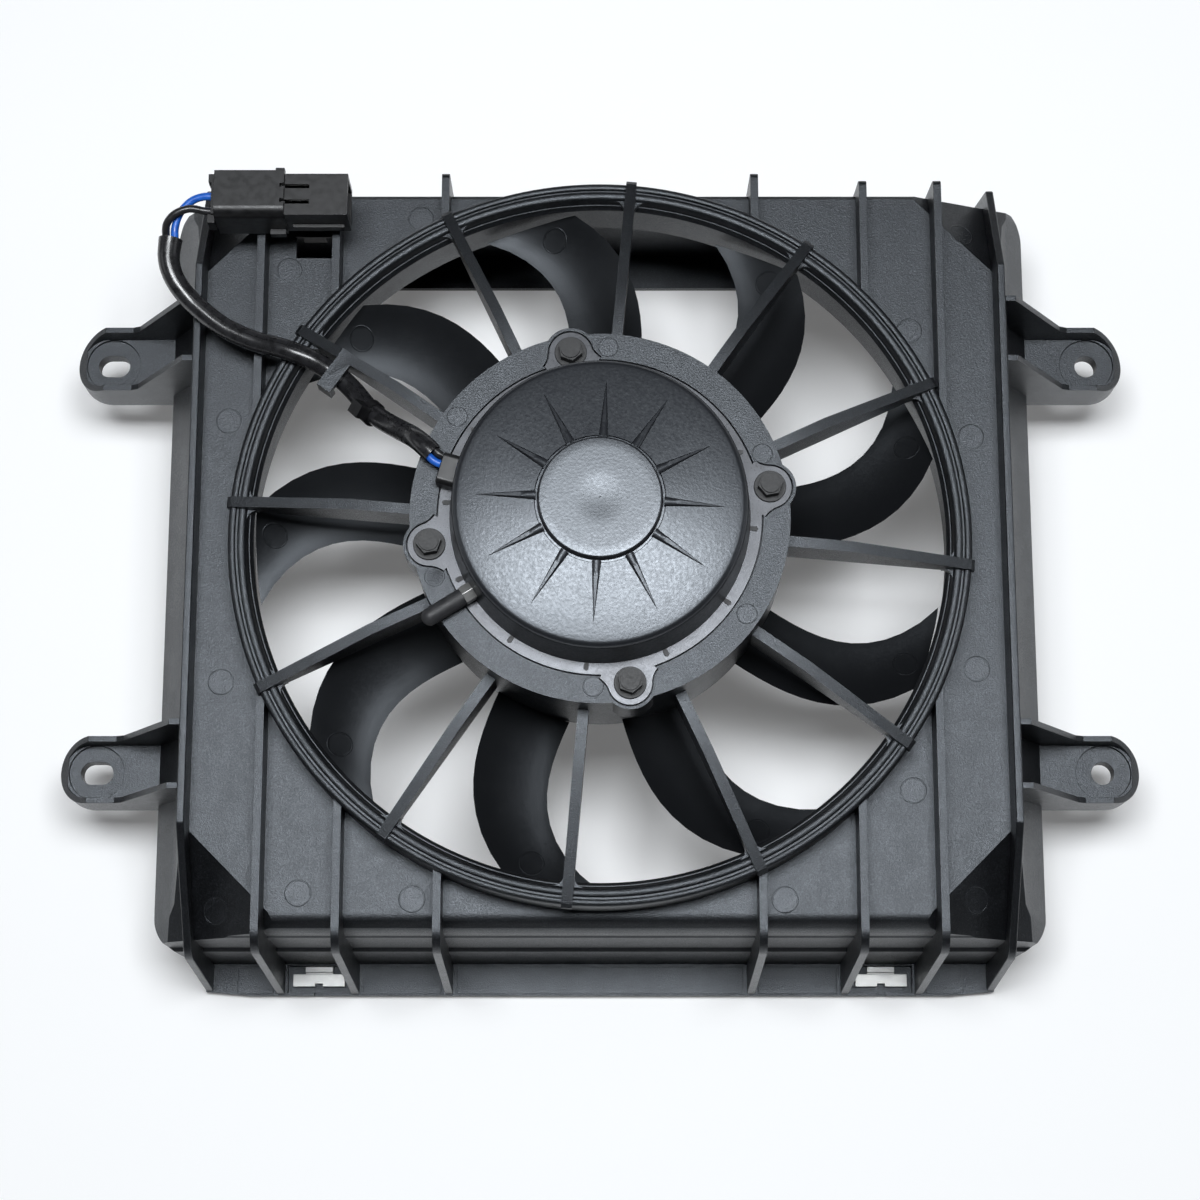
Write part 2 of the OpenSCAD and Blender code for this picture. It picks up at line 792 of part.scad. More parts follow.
module mount_bolts() {
  color(satin_steel)
    around(4, bolt_turn)
      translate([bolt_circle_r, 0, carrier_top + washer_t]) {
        cylinder(d = bolt_af / cos(30), h = head_h - 0.8, $fn = 6);
        translate([0, 0, head_h - 0.8])
          cylinder(r = bolt_af / 2 - 0.4, h = 0.8);
        translate([0, 0, -washer_t - motor_flange_t - 10])
          cylinder(r = bolt_r, h = washer_t + motor_flange_t + 10.5);
      }
}

module bolt_washers() {
  color(satin_steel)
    around(4, bolt_turn)
      translate([bolt_circle_r, 0, carrier_top])
        difference() {
          cylinder(r = washer_r, h = washer_t);
          translate([0, 0, -1])
            cylinder(r = bolt_r + running_gap, h = washer_t + 2);
        }
}

// Hexagon breather screwed into the side of the cover
module vent_fitting() {
  color(bright_steel)
    difference() {
      rotate(vent_turn)
        translate([0, 0, vent_z])
          rotate([0, 90, 0]) {
            translate([0, 0, cover_r - 2])
              cylinder(d = 6.4 / cos(30), h = 5.6, $fn = 6);
            translate([0, 0, cover_r - 2])
              cylinder(r = 1.6, h = 16);
          }
      translate([0, 0, carrier_top])
        rotate_extrude($fn = 96)
          cover_section(0);
    }
}

module vent_cap() {
  cap_r = 3.25;
  cap_l = 17;
  color(rubber)
    rotate(vent_turn)
      translate([0, 0, vent_z])
        rotate([0, 90, 0])
          translate([0, 0, cover_r + 3.6])
            rotate_extrude()
              difference() {
                union() {
                  square([cap_r, cap_l - cap_r]);
                  translate([0, cap_l - cap_r])
                    intersection() {
                      circle(cap_r);
                      square(cap_r);
                    }
                }
                translate([-1, -1])
                  square([2.6, 11.4]);
              }
}

// Moulded outlet of the lead beside the cover
module cable_gland() {
  gland_w = 12;
  gland_h = 7.4;
  color(plastic_dark)
    difference() {
      rotate(gland_turn)
        translate([cover_r - 1.5, 0, carrier_top])
          rotate([0, 90, 0])
            linear_extrude(7.2)
              union() {
                translate([-gland_h + 2, -gland_w / 2])
                  square([gland_h - 2, gland_w]);
                translate([-gland_h, -gland_w / 2 + 2])
                  square([gland_h, gland_w - 4]);
                for (s = [-1, 1])
                  translate([-gland_h + 2, s * (gland_w / 2 - 2)])
                    circle(2);
              }
      translate([0, 0, carrier_top])
        rotate_extrude($fn = 96)
          cover_section(0);
    }
}

// Sweeping a round section along a route of points

function unit(v) = v / norm(v);
function heading(p, i) = unit(p[min(i + 1, len(p) - 1)] - p[max(i - 1, 0)]);
function sideways(d) = unit(cross(d, abs(d[2]) > 0.9 ? [1, 0, 0] : [0, 0, 1]));

// Corner j of ring i of a tube along the route p
function tube_point(p, i, j, r, sides) =
  let (d = heading(p, i), u = sideways(d), v = cross(u, d), a = 360 * j / sides)
  p[i] + r * (cos(a) * u + sin(a) * v);

// One more point between each pair on a smooth curve through the route
function midpoint(p, i) =
  let (a = p[max(i - 1, 0)], b = p[i], c = p[i + 1], d = p[min(i + 2, len(p) - 1)])
  (9 * (b + c) - a - d) / 16;
function smooth(p) = [for (i = [0 : 2 * (len(p) - 1)]) i % 2 == 0 ? p[i / 2] : midpoint(p, (i - 1) / 2)];

module tube(route, d, sides) {
  p = smooth(route);
  n = len(p);
  points = [for (i = [0 : n - 1], j = [0 : sides - 1]) tube_point(p, i, j, d / 2, sides)];
  last = (n - 1) * sides;
  skin = [for (i = [0 : n - 2], j = [0 : sides - 1])
    let (a = i * sides + j, b = i * sides + (j + 1) % sides)
    each [[a, b + sides, a + sides], [a, b, b + sides]]];
  start = [for (j = [sides - 1 : -1 : 0]) j];
  end = [for (j = [0 : sides - 1]) last + j];
  polyhedron(points, concat([end, start], skin));
}

module wire_blue() {
  color([0.05, 0.25, 0.75]) {
    tube(blue_front, wire_d, 8);
    tube(blue_rear, wire_d, 8);
  }
}

module wire_black() {
  color(plastic_dark) {
    tube(black_front, wire_d, 8);
    tube(black_rear, wire_d, 8);
  }
}

module cable_sleeve() {
  color(rubber)
    tube(sleeve_route, sleeve_d, 10);
}

// Strap round the sleeve, with its square head outside the lead
module cable_tie() {
  p = sleeve_route[tie_at];
  d = heading(sleeve_route, tie_at);
  strap_in = sleeve_d / 2 + 0.3;
  color(plastic_dark)
    translate(p)
      rotate([0, acos(d[2]), atan2(d[1], d[0])])
        difference() {
          union() {
            translate([0, 0, -1.8])
              cylinder(r = strap_in + 1.1, h = 3.6);
            rotate(210)
              translate([strap_in + 0.2, -2.6, -3])
                cube([5, 5.2, 6]);
          }
          translate([0, 0, -10])
            cylinder(r = strap_in, h = 20);
        }
}

// Connector along +X: the closed rear block, then the open socket
rear_l = conn_l - socket_depth - 1.6;

module at_connector() {
  translate([conn_x0, conn_y0, conn_z0])
    children();
}

module connector_housing() {
  round = 4;
  seal_depth = 6;
  color(plastic_dark)
    at_connector()
      difference() {
        union() {
          // Rear block, with the long top edge towards the front rounded
          rotate([90, 0, 90])
            linear_extrude(rear_l + 1.6)
              union() {
                square([conn_w, conn_h - round]);
                translate([round, 0])
                  square([conn_w - round, conn_h]);
                translate([round, conn_h - round])
                  circle(round);
              }
          // Socket, a little smaller, with its side rails
          translate([rear_l, 0.8, 0.8])
            rotate([90, 0, 90])
              linear_extrude(conn_l - rear_l)
                square([conn_w - 1.6, conn_h - 2.4]);
          translate([rear_l + 4, -0.4, 5])
            cube([conn_l - rear_l - 6, 2, 3]);
          translate([rear_l - 2, conn_w - 0.6, conn_h - 6])
            cube([3.4, 2.6, 3.4]);
          translate([rear_l - 5, -2, 1.5])
            cube([6, 2.6, 3.4]);
        }
        // Inside of the socket and the two wire cavities
        translate([conn_l - socket_depth, 0.8 + conn_wall, 0.8 + conn_wall])
          cube([socket_depth + 1, conn_w - 1.6 - 2 * conn_wall, conn_h - 2.4 - 2 * conn_wall]);
        translate([-1, 2, 4])
          cube([seal_depth + 1, conn_w - 4, conn_h - 8]);
        // Long slots in the top of the socket
        for (y = [5.2, 11.4])
          translate([rear_l, y, conn_h - 3.4])
            cube([11, 1.6, 4]);
        terminal_shape(0.2);
        // Keyway of the mounting clip under the housing
        translate([5, conn_w / 2 - 3, -1])
          cube([40, 6, 3]);
      }
}

// Two flat blades, grown by g: they stand in the socket and reach back to the wires
module terminal_shape(g) {
  pitch = 6.2;
  for (s = [-1, 1])
    translate([5 - g, conn_w / 2 + s * pitch / 2 - 1.4 - g, conn_h * 0.5 - 0.4 - g])
      cube([conn_l - socket_depth - 5 + 12 + g, 2.8 + 2 * g, 0.8 + 2 * g]);
}

module connector_terminals() {
  color(bright_steel)
    at_connector()
      terminal_shape(0);
}

// Rubber seal in the rear of the housing, with a hole for each wire
module connector_seal() {
  color(rubber)
    at_connector()
      difference() {
        translate([1.4, 2.2, 4.2])
          cube([3.4, conn_w - 4.4, conn_h - 8.4]);
        for (s = [-1, 1])
          translate([0, wire_y + s * wire_pitch / 2, wire_up])
            rotate([0, 90, 0])
              cylinder(r = wire_d / 2 + 0.1, h = 10);
      }
}

// Rear lock that keeps the seal in, with its two side latches
module connector_lock() {
  color(plastic_dark)
    at_connector()
      difference() {
        union() {
          translate([-1.6, 2.2, 4.2])
            cube([2.8, conn_w - 4.4, conn_h - 8.4]);
          for (y = [-0.8, conn_w - 2.6])
            translate([-3, y, 6])
              cube([2.8, 3.4, 8]);
        }
        for (s = [-1, 1])
          translate([-4, wire_y + s * wire_pitch / 2, wire_up])
            rotate([0, 90, 0])
              cylinder(r = wire_d / 2 + 0.3, h = 10);
      }
}

// Clip that snaps into the window of the panel and slides into the housing's keyway
module connector_clip() {
  foot_t = 1.6;
  hook_y = window_l / 2 - 3;
  color(plastic_dark)
    translate([window_x, 0, panel_z]) {
      translate([-8, window_y + hook_y, 0])
        cube([16, conn_y0 + 13 - window_y - hook_y, foot_t]);
      translate([-4.5, window_y + hook_y, -wall - 2])
        cube([9, 2.7, wall + 2.5]);
      translate([-4.5, window_y + hook_y, -wall - 2])
        cube([9, 4.5, 2]);
      translate([-4, conn_y0 + conn_w / 2 - 2.7, 0])
        cube([8, 5.4, conn_z0 - panel_z + 1.6]);
    }
}

// Spring clips in the pockets of the front flange: a bar with a stop notch, a tail and the strip between
module spring_clips() {
  bar_l = 4.9;
  tail_w = 10.8;
  top = flange_t - 0.6;
  color(bright_steel)
    for (s = [-1, 1])
      translate([s * clip_x, -clip_pocket_y, clip_floor]) {
        difference() {
          translate([-clip_w / 2, -3.2 - bar_l, 0])
            cube([clip_w, bar_l, top - clip_floor]);
          translate([-1.5, -4 - bar_l, -1])
            cube([3, 2, flange_t]);
        }
        translate([-tail_w / 2, -5, 0])
          cube([tail_w, 4.8, 0.8]);
        translate([-tail_w / 2, -2.4, 0])
          cube([tail_w, 2.2, top - clip_floor - 0.4]);
      }
}

// Four curved magnets on the inside of the base
module magnets() {
  color([0.2, 0.2, 0.22])
    translate([0, 0, core_low - 2])
      difference() {
        cylinder(r = base_r - can_t, h = core_high - core_low + 4, $fn = 96);
        translate([0, 0, -1])
          cylinder(r = magnet_in, h = core_high, $fn = 96);
        around(4, 45)
          translate([0, -4, -1])
            cube([base_r, 8, core_high]);
      }
}

// Insulating card on the flange that carries the brush holders
holder_in = comm_r + 2;
holder_w = 8;

module brush_card() {
  color([0.55, 0.45, 0.25])
    difference() {
      union() {
        translate([0, 0, carrier_top])
          difference() {
            cylinder(r = base_r - can_t - 1.2, h = 1.6);
            translate([0, 0, -1])
              cylinder(r = comm_r + 3, h = 4);
          }
        around(4)
          translate([holder_in, -holder_w / 2, carrier_top])
            cube([22, holder_w, 10]);
        translate([0, 0, carrier_top])
          difference() {
            cylinder(r = cover_r - can_t - 0.2, h = 1.6);
            cylinder(r = base_r - can_t - 1.4, h = 1.6);
          }
      }
      around(4)
        translate([holder_in - 1, -holder_w / 2 + 1.2, carrier_top + 1.6])
          cube([21.4, holder_w - 2.4, 7]);
    }
}

brush_l = 12;

module brushes() {
  color([0.15, 0.13, 0.12])
    difference() {
      around(4)
        translate([comm_r - 1, -holder_w / 2 + 1.3, carrier_top + 1.7])
          cube([brush_l + 1, holder_w - 2.6, 6.8]);
      translate([0, 0, carrier_top])
        cylinder(r = comm_r + running_gap, h = 20);
    }
}

module brush_springs() {
  color(bright_steel)
    around(4)
      translate([comm_r + brush_l, 0, carrier_top + 5])
        rotate([0, 90, 0])
          difference() {
            cylinder(r = 2.4, h = holder_in + 20.4 - comm_r - brush_l);
            translate([0, 0, -1])
              cylinder(r = 1.6, h = 20);
          }
}

// Rings, balls and races of the two bearings
module at_bearings() {
  for (z = [lower_bearing_z, upper_bearing_z])
    translate([0, 0, z])
      children();
}

ball_r = 1.45;
ball_orbit = (shaft_r + bearing_r) / 2;
race_gap = 0.15;

module race(r_out, r_in) {
  rotate_extrude($fn = 96)
    difference() {
      translate([r_in, 0])
        square([r_out - r_in, bearing_h]);
      translate([ball_orbit, bearing_h / 2])
        circle(ball_r + race_gap);
    }
}

module bearing_outer_races() {
  color(bright_steel)
    at_bearings()
      race(bearing_r, ball_orbit + 1);
}

module bearing_inner_races() {
  color(bright_steel)
    at_bearings()
      race(ball_orbit - 1, shaft_r);
}

module bearing_balls() {
  color(bright_steel)
    at_bearings()
      around(7)
        translate([ball_orbit, 0, bearing_h / 2])
          sphere(ball_r, $fn = 24);
}

// Fan hub: a cup round the motor base with its driving boss on the shaft
module fan_hub() {
  color(plastic_dark)
    difference() {
      union() {
        rotate_extrude($fn = 96)
          polygon([[0, hub_low], [hub_r - 2.5, hub_low], [hub_r, hub_low + 2.5], [hub_r, hub_top],
                   [hub_r - hub_wall, hub_top], [hub_r - hub_wall, hub_low + hub_face_t + 1.5],
                   [hub_r - hub_wall - 1.5, hub_low + hub_face_t], [0, hub_low + hub_face_t]]);
        translate([0, 0, hub_low - 2])
          cylinder(r = hub_boss_r, h = 3);
      }
      translate([0, 0, hub_low - 5])
        cylinder(r = shaft_r, h = 30);
    }
}

// Angles of a blade's two edges from its middle, at the share t of the way from hub to tip
function leading(t) = 10.2 - 13.6 * t + 17.3 * t * t + 5.9 * t * t * t;
function trailing(t) = -13.3 + 8.6 * t - 1.5 * t * t + 10.5 * t * t * t;

// Point of a blade at the share t outwards and s across from the trailing edge, on its upper or lower face
function blade_point(t, s, up) =
  let (r = hub_r + t * (fan_r - hub_r),
       a = trailing(t) + s * (leading(t) - trailing(t)),
       rise = blade_rise * (1 - 0.18 * t),
       half = up * blade_t * 0.5 * (0.3 + 0.7 * sqrt(4 * s * (1 - s) + 0.001)) * (1 - 0.35 * t),
       z = blade_low + blade_t / 2 + (1 - s) * rise + 3 * t - blade_camber * 4 * s * (1 - s) + half)
  [r * cos(a), r * sin(a), z];

module blade() {
  nt = 11;
  ns = 9;
  row = 2 * ns;
  points = [for (i = [0 : nt]) each concat(
    [for (j = [0 : ns]) blade_point(i / nt, j / ns, 1)],
    [for (j = [ns - 1 : -1 : 1]) blade_point(i / nt, j / ns, -1)])];
  skin = [for (i = [0 : nt - 1], j = [0 : row - 1])
    let (a = i * row + j, b = i * row + (j + 1) % row)
    each [[a, b, b + row], [a, b + row, a + row]]];
  function cap(o) = [for (j = [0 : ns - 1])
    let (u = j, v = j + 1, w = (row - j) % row, x = row - j - 1)
    each (j == 0 ? [[o, o + v, o + x]] : j == ns - 1 ? [[o + u, o + v, o + w]]
      : [[o + u, o + v, o + x], [o + u, o + x, o + w]])];
  root = [for (f = cap(0)) [f[2], f[1], f[0]]];
  polyhedron(points, concat(skin, root, cap(nt * row)));
}

module fan_blades() {
  color(plastic_dark)
    around(blade_count, blade_turn)
      blade();
}

module motor_shaft() {
  color(bright_steel)
    translate([0, 0, hub_low - 13])
      cylinder(r = shaft_r, h = upper_bearing_z + bearing_h - hub_low + 13);
}

// Stack of laminations with one slot for each coil
module armature_core() {
  slots = 16;
  color([0.45, 0.45, 0.47])
    difference() {
      translate([0, 0, core_low])
        cylinder(r = core_r, h = core_high - core_low, $fn = 96);
      translate([0, 0, core_low - 1])
        cylinder(r = shaft_r, h = core_high);
      around(slots)
        translate([core_r * 0.55, -1.6, core_low - 1])
          cube([core_r * 0.5, 3.2, core_high]);
    }
}

// Copper ends of the coils above and below the stack
module armature_windings() {
  color([0.72, 0.38, 0.16])
    for (z = [core_low - 6, core_high])
      translate([0, 0, z])
        rotate_extrude($fn = 96)
          translate([comm_r + 4, 0])
            square([core_r * 0.9 - comm_r - 4, z < core_low ? 6 : 4.6]);
}

module commutator() {
  color([0.72, 0.45, 0.2])
    difference() {
      translate([0, 0, core_high])
        cylinder(r = comm_r, h = comm_high + 4 - core_high, $fn = 96);
      translate([0, 0, core_high - 1])
        cylinder(r = shaft_r, h = 40);
    }
}

nut_h = 6.5;
hub_washer_t = 1.5;

module fan_washer() {
  color(bright_steel)
    translate([0, 0, hub_low - 2 - hub_washer_t])
      difference() {
        cylinder(r = 8.5, h = hub_washer_t);
        translate([0, 0, -1])
          cylinder(r = shaft_r, h = 5);
      }
}

module fan_nut() {
  color(bright_steel)
    translate([0, 0, hub_low - 2 - hub_washer_t - nut_h])
      difference() {
        cylinder(d = 13 / cos(30), h = nut_h, $fn = 6);
        translate([0, 0, -1])
          cylinder(r = shaft_r, h = 10);
      }
}

shroud_panel();
shroud_ribs();
side_ribs();
mounting_ears();
end_flanges();
duct_ring();
spokes();
motor_carrier();
motor_flange();
motor_cover();
motor_base();
mount_bolts();
bolt_washers();
vent_fitting();
vent_cap();
cable_gland();
wire_blue();
wire_black();
cable_sleeve();
cable_tie();
connector_housing();
connector_lock();
connector_seal();
connector_terminals();
connector_clip();
spring_clips();
magnets();
brush_card();
brushes();
brush_springs();
bearing_outer_races();
fan_hub();
fan_blades();
motor_shaft();
armature_core();
armature_windings();
commutator();
bearing_inner_races();
bearing_balls();
fan_washer();
fan_nut();
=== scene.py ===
"""Looks of the intercooler fan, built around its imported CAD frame.

Shaders, lamps and the camera are in metres; the points of the dressing pieces are in millimetres.
"""
import json
import math

import bmesh
import bpy
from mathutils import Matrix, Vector
from mathutils.bvhtree import BVHTree


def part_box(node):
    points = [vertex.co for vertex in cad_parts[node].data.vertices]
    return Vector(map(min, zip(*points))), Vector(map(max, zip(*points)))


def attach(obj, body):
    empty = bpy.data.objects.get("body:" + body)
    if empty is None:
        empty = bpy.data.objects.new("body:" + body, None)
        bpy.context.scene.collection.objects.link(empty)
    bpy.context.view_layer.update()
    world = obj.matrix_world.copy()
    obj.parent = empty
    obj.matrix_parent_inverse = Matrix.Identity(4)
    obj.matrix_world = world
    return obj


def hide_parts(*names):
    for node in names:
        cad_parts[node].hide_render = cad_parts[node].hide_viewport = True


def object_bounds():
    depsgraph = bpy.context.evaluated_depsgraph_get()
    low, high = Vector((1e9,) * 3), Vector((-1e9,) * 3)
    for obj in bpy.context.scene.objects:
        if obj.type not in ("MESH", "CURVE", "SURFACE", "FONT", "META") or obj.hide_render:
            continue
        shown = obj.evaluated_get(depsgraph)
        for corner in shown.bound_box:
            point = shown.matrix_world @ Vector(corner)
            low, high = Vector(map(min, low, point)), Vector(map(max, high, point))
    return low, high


MM = 0.001

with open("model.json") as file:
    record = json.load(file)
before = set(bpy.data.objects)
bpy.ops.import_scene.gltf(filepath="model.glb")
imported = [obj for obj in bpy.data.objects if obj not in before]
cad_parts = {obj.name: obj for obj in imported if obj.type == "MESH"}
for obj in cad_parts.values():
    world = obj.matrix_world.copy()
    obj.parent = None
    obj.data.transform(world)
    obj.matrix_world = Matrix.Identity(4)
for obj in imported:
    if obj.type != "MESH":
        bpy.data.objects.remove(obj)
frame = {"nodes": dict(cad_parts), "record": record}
cad_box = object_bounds()
nodes = frame["nodes"]


# Shader building blocks

WHITE = (1, 1, 1)
COOL = (0.87, 0.93, 1.0)
COAT_ROUGH = 0.12


class Shader:
    """A material with one principled shader, and short calls that add nodes to it."""

    def __init__(self, name, rough, metallic=0.0, specular=0.5, coat=0.0, tint=WHITE):
        self.material = bpy.data.materials.new(name)
        self.material.use_nodes = True
        self.nodes = self.material.node_tree.nodes
        self.links = self.material.node_tree.links
        self.nodes.clear()
        self.out = self.nodes.new("ShaderNodeOutputMaterial")
        self.bsdf = self.nodes.new("ShaderNodeBsdfPrincipled")
        self.link(self.bsdf.outputs["BSDF"], self.out.inputs["Surface"])
        for socket, value in (
                ("Roughness", rough), ("Metallic", metallic), ("Specular IOR Level", specular),
                ("Specular Tint", (*tint, 1)), ("Coat Weight", coat), ("Coat Roughness", COAT_ROUGH)):
            self.bsdf.inputs[socket].default_value = value
        self.place = self.nodes.new("ShaderNodeTexCoord").outputs["Object"]

    def link(self, source, target):
        self.links.new(source, target)

    def noise(self, size, detail=3, rough=0.5):
        """Noise whose features are about size metres across."""
        node = self.nodes.new("ShaderNodeTexNoise")
        node.inputs["Scale"].default_value = 1 / size
        node.inputs["Detail"].default_value = detail
        node.inputs["Roughness"].default_value = rough
        self.link(self.place, node.inputs["Vector"])
        return node.outputs["Fac"]

    def pebbles(self, size):
        """Rounded cells about size metres across."""
        node = self.nodes.new("ShaderNodeTexVoronoi")
        node.feature = "SMOOTH_F1"
        node.inputs["Scale"].default_value = 1 / size
        self.link(self.place, node.inputs["Vector"])
        return node.outputs["Distance"]

    def remap(self, value, low, high, to_low, to_high):
        node = self.nodes.new("ShaderNodeMapRange")
        for key, number in (("From Min", low), ("From Max", high), ("To Min", to_low), ("To Max", to_high)):
            node.inputs[key].default_value = number
        self.link(value, node.inputs["Value"])
        return node.outputs["Result"]

    def math(self, kind, a, b):
        node = self.nodes.new("ShaderNodeMath")
        node.operation = kind
        for socket, value in zip(node.inputs, (a, b)):
            if isinstance(value, (int, float)):
                socket.default_value = value
            else:
                self.link(value, socket)
        return node.outputs["Value"]

    def mix_colour(self, value, low, high, dark, light):
        """Goes from the dark to the light colour while the value goes from low to high."""
        node = self.nodes.new("ShaderNodeMix")
        node.data_type = "RGBA"
        self.link(self.remap(value, low, high, 0, 1), node.inputs["Factor"])
        node.inputs["A"].default_value = (*dark, 1)
        node.inputs["B"].default_value = (*light, 1)
        return node.outputs["Result"]

    def bump(self, height, distance):
        node = self.nodes.new("ShaderNodeBump")
        node.inputs["Strength"].default_value = 1
        node.inputs["Distance"].default_value = distance
        self.link(height, node.inputs["Height"])
        return node.outputs["Normal"]

    def finish(self, colour, rough, normal):
        self.link(colour, self.bsdf.inputs["Base Color"])
        self.link(rough, self.bsdf.inputs["Roughness"])
        self.link(normal, self.bsdf.inputs["Normal"])
        return self.material


def glass_filled(name, dark, light, rough, bump=0.15 * MM):
    """Moulded plastic with glass fibres: a fine speckle in colour and gloss over a cloudy mottle."""
    s = Shader(name, rough, specular=0.62, tint=COOL)
    fine = s.noise(0.55 * MM, rough=0.7)
    cloud = s.noise(7 * MM)
    both = s.math("ADD", s.math("MULTIPLY", fine, 0.82), s.math("MULTIPLY", cloud, 0.18))
    gloss = s.remap(both, 0.35, 0.65, rough + 0.09, rough - 0.08)
    return s.finish(s.mix_colour(both, 0.48, 0.68, dark, light), gloss, s.bump(fine, bump))


def grained_coating(name, dark, light, rough):
    """Coating with a leathery grain of small rounded pebbles."""
    cell, depth = 0.9 * MM, 0.03 * MM
    s = Shader(name, rough, specular=0.95, tint=COOL)
    ripple = s.noise(cell * 1.3)
    height = s.math("ADD", s.math("MULTIPLY", s.pebbles(cell), -0.6), ripple)
    gloss = s.remap(ripple, 0.3, 0.7, rough + 0.06, rough - 0.05)
    return s.finish(s.mix_colour(ripple, 0.35, 0.65, dark, light), gloss, s.bump(height, depth))


def satin_metal(name, dark, light, rough, metallic):
    """Metal with a fine grain in its gloss and a slow change of tone."""
    s = Shader(name, rough, metallic=metallic)
    fine = s.noise(0.7 * MM, detail=4, rough=0.65)
    cloud = s.noise(14 * MM)
    gloss = s.remap(fine, 0.35, 0.65, rough - 0.05, rough + 0.07)
    return s.finish(s.mix_colour(cloud, 0.35, 0.65, dark, light), gloss, s.bump(fine, 0.006 * MM))


def smooth_plastic(name, dark, light, rough, coat=0.0):
    """Plain plastic or rubber with a faint unevenness."""
    s = Shader(name, rough, coat=coat)
    fine = s.noise(2.5 * MM)
    gloss = s.remap(fine, 0.35, 0.65, rough - 0.04, rough + 0.05)
    return s.finish(s.mix_colour(fine, 0.35, 0.65, dark, light), gloss, s.bump(fine, 0.008 * MM))


MATERIALS = {name: make(name, dark, light, rough, *more) for make, name, dark, light, rough, *more in (
    (glass_filled, "shroud_plastic", (0.0025, 0.0027, 0.0032), (0.022, 0.0235, 0.027), 0.36),
    (glass_filled, "fan_plastic", (0.004, 0.0043, 0.005), (0.0075, 0.008, 0.0095), 0.36, 0.015 * MM),
    (glass_filled, "mark_plastic", (0.006, 0.0065, 0.0075), (0.034, 0.036, 0.041), 0.32),
    (smooth_plastic, "connector_plastic", (0.004, 0.004, 0.0045), (0.008, 0.008, 0.009), 0.40),
    (grained_coating, "textured_cover", (0.006, 0.0065, 0.008), (0.013, 0.014, 0.017), 0.34),
    (satin_metal, "satin_steel", (0.045, 0.047, 0.052), (0.065, 0.068, 0.075), 0.31, 0.5),
    (satin_metal, "bolt_steel", (0.004, 0.0043, 0.005), (0.008, 0.0085, 0.0095), 0.54, 0.0),
    (satin_metal, "bright_steel", (0.30, 0.30, 0.295), (0.40, 0.40, 0.39), 0.42, 0.8),
    (smooth_plastic, "soft_rubber", (0.016, 0.016, 0.018), (0.026, 0.026, 0.028), 0.55),
    (smooth_plastic, "sleeve_plastic", (0.010, 0.010, 0.011), (0.018, 0.018, 0.020), 0.28, 0.3),
    (smooth_plastic, "wire_blue", (0.010, 0.085, 0.42), (0.018, 0.13, 0.56), 0.34),
    (smooth_plastic, "wire_black", (0.012, 0.012, 0.013), (0.020, 0.020, 0.022), 0.34),
    (satin_metal, "ferrite", (0.06, 0.06, 0.065), (0.09, 0.09, 0.095), 0.6, 0.3),
    (smooth_plastic, "card", (0.22, 0.15, 0.07), (0.30, 0.21, 0.10), 0.6),
    (smooth_plastic, "carbon", (0.03, 0.028, 0.026), (0.05, 0.047, 0.044), 0.6),
    (satin_metal, "core_steel", (0.20, 0.20, 0.21), (0.30, 0.30, 0.31), 0.45, 0.9),
    (satin_metal, "copper", (0.62, 0.27, 0.12), (0.76, 0.36, 0.18), 0.32, 1.0))}


# Dressing of the CAD nodes

WELD_GAP = 0.004 * MM
# Width of the rounded edges in millimetres, on nodes with flat faces and on nodes with round ones
FLAT_EDGE = {
    "shroud_panel": 0.6, "shroud_ribs": 0.5, "side_ribs": 0.5, "end_flanges": 0.4, "spokes": 0.45,
    "motor_flange": 0.35, "mount_bolts": 0.5, "bolt_washers": 0.2, "vent_fitting": 0.2, "cable_gland": 0.4,
    "cable_tie": 0.2, "connector_housing": 0.3, "connector_lock": 0.3, "connector_seal": 0.2,
    "connector_terminals": 0.1, "connector_clip": 0.3, "spring_clips": 0.15, "fan_nut": 0.3}
ROUND_EDGE = {
    "mounting_ears": 0.4, "motor_carrier": 0.4, "motor_cover": 0.3, "motor_base": 0.4, "vent_cap": 0.2,
    "fan_hub": 0.5, "fan_washer": 0.15, "motor_shaft": 0.3}


def add_modifier(obj, kind, **settings):
    modifier = obj.modifiers.new(kind.lower(), kind)
    for key, value in settings.items():
        setattr(modifier, key, value)


def edge_finish(obj, width, flat):
    """Joins the imported faces, rounds the sharp edges a little and shades the faces flat between them."""
    add_modifier(obj, "WELD", merge_threshold=WELD_GAP)
    if flat:
        add_modifier(obj, "DECIMATE", decimate_type="DISSOLVE", angle_limit=math.radians(0.4))
    add_modifier(obj, "BEVEL", limit_method="ANGLE", angle_limit=math.radians(28), width=width * MM, segments=2,
                 use_clamp_overlap=True, miter_outer="MITER_ARC")
    add_modifier(obj, "WEIGHTED_NORMAL", weight=90, keep_sharp=False)


def smooth_finish(obj, angle):
    """Joins the imported faces and shades them smooth, apart from the edges sharper than the angle."""
    add_modifier(obj, "WELD", merge_threshold=WELD_GAP)
    add_modifier(obj, "EDGE_SPLIT", split_angle=math.radians(angle))
    for face in obj.data.polygons:
        face.use_smooth = True


for part in frame["record"]["subparts"]:
    node = nodes[part["node"]]
    node.data.materials.clear()
    node.data.materials.append(MATERIALS[part["material_slot"]])
    for face in node.data.polygons:
        face.material_index = 0
    if node.name in FLAT_EDGE:
        edge_finish(node, FLAT_EDGE[node.name], flat=True)
    elif node.name in ROUND_EDGE:
        edge_finish(node, ROUND_EDGE[node.name], flat=False)
    elif node.name == "fan_blades":
        smooth_finish(node, angle=32)


# Making of the pieces that dress the CAD nodes; a piece's vertices and faces are gathered in parts

